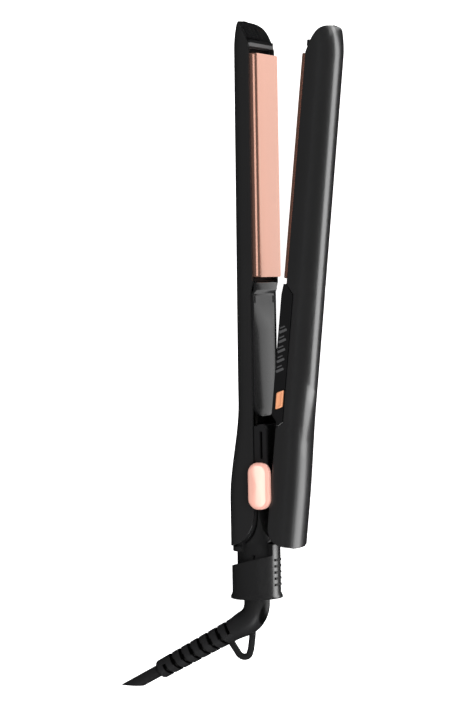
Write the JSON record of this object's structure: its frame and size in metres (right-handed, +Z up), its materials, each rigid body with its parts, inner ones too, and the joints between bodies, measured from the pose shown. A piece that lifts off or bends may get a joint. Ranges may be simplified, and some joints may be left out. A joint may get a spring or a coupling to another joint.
{
  "type": "flat iron",
  "caption": "Clamping hair-straightening iron with hinged arms, floating rose-coloured heated plates, a sliding lock ring and a swivel power cord.",
  "frame": {"origin": "on the outer flat face of the lower hinge cap, on the hinge pin's axis", "axes": "+X from the hinge pin along the base arm to its tip, +Z up along the hinge pin with the iron lying on its side, +Y from the closing plane to the base arm's back"},
  "size_m": [0.3471, 0.1322, 0.038],
  "materials": {
    "shell_black": "satin",
    "cover_grey": "satin",
    "rose_plate": "satin",
    "rose_trim": "metallic paint",
    "heat_black": "matte",
    "steel": "brushed",
    "brass": "satin",
    "ceramic": "matte",
    "silicone": "matte",
    "cord_rubber": "matte",
    "board": "matte",
    "milky": "translucent",
    "lead_sleeve": "woven"
  },
  "bodies": {
    "base_arm": {"base_outer_shell": "shell_black", "base_inner_cover": "cover_grey", "base_plate_carrier": "heat_black", "base_float_pad_rear": "silicone", "base_float_pad_front": "silicone", "base_carrier_screw_rear": "steel", "base_carrier_screw_front": "steel", "base_lead_live": "lead_sleeve", "base_lead_neutral": "lead_sleeve", "hinge_yoke": "heat_black", "hinge_pin": "steel", "opening_spring": "steel", "hinge_washer_upper": "steel", "hinge_washer_lower": "steel", "hinge_cap_upper": "rose_trim", "hinge_cap_lower": "rose_trim", "swivel_housing": "shell_black"},
    "base_plate": {"base_heater_plate": "rose_plate", "base_heater_element": "ceramic", "base_temperature_sensor": "ceramic"},
    "moving_arm": {"moving_outer_shell": "shell_black", "moving_inner_cover": "cover_grey", "moving_plate_carrier": "heat_black", "moving_float_pad_rear": "silicone", "moving_float_pad_front": "silicone", "moving_carrier_screw_rear": "steel", "moving_carrier_screw_front": "steel", "moving_lead_live": "lead_sleeve", "moving_lead_neutral": "lead_sleeve", "moving_hinge_bracket": "heat_black", "control_board": "board", "power_switch": "heat_black", "light_pipe_1": "milky", "light_pipe_2": "milky", "light_pipe_3": "milky", "light_pipe_4": "milky", "light_pipe_5": "milky"},
    "moving_plate": {"moving_heater_plate": "rose_plate", "moving_heater_element": "ceramic", "moving_temperature_sensor": "ceramic"},
    "power_button": {"power_button": "rose_trim"},
    "lock_ring": {"lock_ring": "shell_black"},
    "cord_swivel": {"strain_relief": "cord_rubber", "power_cord": "cord_rubber", "swivel_spindle": "brass"}
  },
  "joints": [
    {"name": "arm_hinge", "type": "hinge", "parent": "base_arm", "child": "moving_arm", "pos_m": [0, 0, 0.019], "axis": [0, 0, 1], "range_deg": [0, 6.5], "deforming": ["opening_spring"]},
    {"name": "base_plate_float", "type": "slide", "parent": "base_arm", "child": "base_plate", "axis": [0, 1, 0], "range_m": [0, 0.0005]},
    {"name": "moving_plate_float", "type": "slide", "parent": "moving_arm", "child": "moving_plate", "axis": [-0.108, -0.9942, 0], "range_m": [0, 0.0005]},
    {"name": "power_button_press", "type": "slide", "parent": "moving_arm", "child": "power_button", "axis": [0, 0, -1], "range_m": [0, 0.0007]},
    {"name": "lock_ring_slide", "type": "slide", "parent": "base_arm", "child": "lock_ring", "axis": [1, 0, 0], "range_m": [0, 0.0045]},
    {"name": "cord_swivel_turn", "type": "hinge", "parent": "base_arm", "child": "cord_swivel", "pos_m": [-0.05, 0.0114, 0.019], "axis": [1, 0, 0], "continuous": true}
  ]
}
